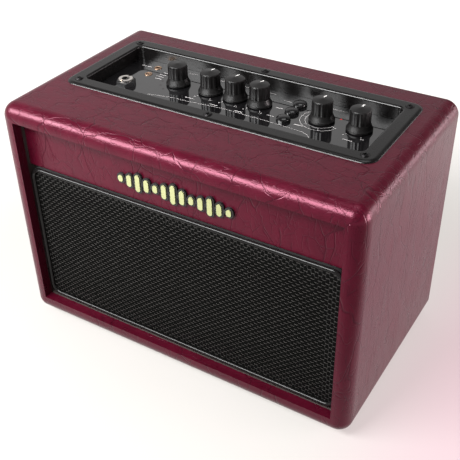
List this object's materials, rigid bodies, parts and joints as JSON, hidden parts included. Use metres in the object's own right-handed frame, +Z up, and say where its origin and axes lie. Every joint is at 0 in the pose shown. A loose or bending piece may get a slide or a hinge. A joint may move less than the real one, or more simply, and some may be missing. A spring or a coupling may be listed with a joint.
{
  "type": "guitar amplifier",
  "caption": "Small practice amplifier: vinyl-covered cabinet, woven grille with piping over two speakers, sunk top panel with turning knobs, press buttons and sockets.",
  "frame": {"origin": "on the floor under the middle of the cabinet", "axes": "+X to the right seen from the grille, +Y to the back, +Z up; the grille faces -Y"},
  "size_m": [0.34, 0.194, 0.2404],
  "materials": {
    "vinyl": "oxblood vinyl, satin, leather grain",
    "board": "black-stained fibreboard",
    "black_board": "painted black fibreboard",
    "cloth": "black basket weave with grey flecks",
    "bead": "glossy black piping",
    "badge_black": "satin black",
    "badge_cream": "cream",
    "bezel": "satin black moulding",
    "panel": "high-gloss black",
    "black_screw": "black oxide",
    "circuit_board": "green solder mask",
    "control_body": "dark housing",
    "shaft": "turned",
    "knob": "satin black",
    "button": "glossy black",
    "jack_black": "black nylon",
    "chrome": "polished",
    "gold": "gold plated",
    "light": "smoked red light pipe",
    "rear": "painted black board",
    "rubber": "black rubber",
    "basket": "black pressed steel",
    "magnet": "ferrite and plated steel",
    "cone": "coated paper",
    "spider": "doped cotton",
    "coil": "wound former",
    "lead": "insulated lead"
  },
  "bodies": {
    "cabinet": {"top_board": "board", "bottom_board": "board", "left_board": "board", "right_board": "board", "battens": "board", "vinyl_cover": "vinyl", "baffle_board": "black_board", "rail_board": "board", "rail_cover": "vinyl", "grille_frame": "black_board", "grille_cloth": "cloth", "grille_bead": "bead", "badge_plate": "badge_black", "badge_bars": "badge_cream", "top_bezel": "bezel", "control_panel": "panel", "bezel_screws": "black_screw", "control_board": "circuit_board", "voice_encoder": "control_body", "pot_bodies": "control_body", "input_jack": "jack_black", "input_jack_nut": "jack_black", "input_jack_ring": "chrome", "small_jacks": "jack_black", "jack_rings": "gold", "indicator_lights": "light", "tact_switches": "control_body", "main_board": "circuit_board", "power_inlet": "jack_black", "switch_housing": "jack_black", "rear_panel": "rear", "wood_screws": "black_screw", "rubber_feet": "rubber", "speaker_baskets": "basket", "speaker_magnets": "magnet", "wiring": "lead", "left_surround": "rubber", "right_surround": "rubber", "left_spider": "spider", "right_spider": "spider"},
    "left_cone": {"left_cone": "cone", "left_voice_coil": "coil"},
    "right_cone": {"right_cone": "cone", "right_voice_coil": "coil"},
    "voice_control": {"voice_knob": "knob", "voice_shaft": "shaft"},
    "gain_control": {"gain_knob": "knob", "gain_shaft": "shaft"},
    "volume_control": {"volume_knob": "knob", "volume_shaft": "shaft"},
    "tone_control": {"tone_knob": "knob", "tone_shaft": "shaft"},
    "effect_control": {"effect_knob": "knob", "effect_shaft": "shaft"},
    "level_control": {"level_knob": "knob", "level_shaft": "shaft"},
    "reverb_button": {"reverb_button": "button"},
    "delay_button": {"delay_button": "button"},
    "tap_button": {"tap_button": "button"},
    "power_rocker": {"power_rocker": "button"}
  },
  "joints": [
    {"name": "voice_turn", "type": "hinge", "parent": "cabinet", "child": "voice_control", "pos_m": [-0.0693, 0.0295, 0.22], "axis": [0, 0, 1], "continuous": true},
    {"name": "gain_turn", "type": "hinge", "parent": "cabinet", "child": "gain_control", "pos_m": [-0.0345, 0.0295, 0.22], "axis": [0, 0, 1], "range_deg": [-150, 150]},
    {"name": "volume_turn", "type": "hinge", "parent": "cabinet", "child": "volume_control", "pos_m": [-0.009, 0.0295, 0.22], "axis": [0, 0, 1], "range_deg": [-150, 150]},
    {"name": "tone_turn", "type": "hinge", "parent": "cabinet", "child": "tone_control", "pos_m": [0.0155, 0.0295, 0.22], "axis": [0, 0, 1], "range_deg": [-150, 150]},
    {"name": "effect_turn", "type": "hinge", "parent": "cabinet", "child": "effect_control", "pos_m": [0.075, 0.0295, 0.22], "axis": [0, 0, 1], "range_deg": [-150, 150]},
    {"name": "level_turn", "type": "hinge", "parent": "cabinet", "child": "level_control", "pos_m": [0.109, 0.0295, 0.22], "axis": [0, 0, 1], "range_deg": [-150, 150]},
    {"name": "reverb_press", "type": "slide", "parent": "cabinet", "child": "reverb_button", "axis": [0, 0, -1], "range_m": [0, 0.001], "stiffness_N_per_m": 1200, "springref_m": -0.0004},
    {"name": "delay_press", "type": "slide", "parent": "cabinet", "child": "delay_button", "axis": [0, 0, -1], "range_m": [0, 0.001], "stiffness_N_per_m": 1200, "springref_m": -0.0004},
    {"name": "tap_press", "type": "slide", "parent": "cabinet", "child": "tap_button", "axis": [0, 0, -1], "range_m": [0, 0.001], "stiffness_N_per_m": 1200, "springref_m": -0.0004},
    {"name": "left_cone_move", "type": "slide", "parent": "cabinet", "child": "left_cone", "axis": [0, -1, 0], "range_m": [-0.0015, 0.0015], "stiffness_N_per_m": 1400, "deforming": ["left_surround", "left_spider"]},
    {"name": "right_cone_move", "type": "slide", "parent": "cabinet", "child": "right_cone", "axis": [0, -1, 0], "range_m": [-0.0015, 0.0015], "stiffness_N_per_m": 1400, "deforming": ["right_surround", "right_spider"]},
    {"name": "power_rock", "type": "hinge", "parent": "cabinet", "child": "power_rocker", "pos_m": [-0.11, 0.0895, 0.052], "axis": [1, 0, 0], "range_deg": [-14, 0]}
  ]
}
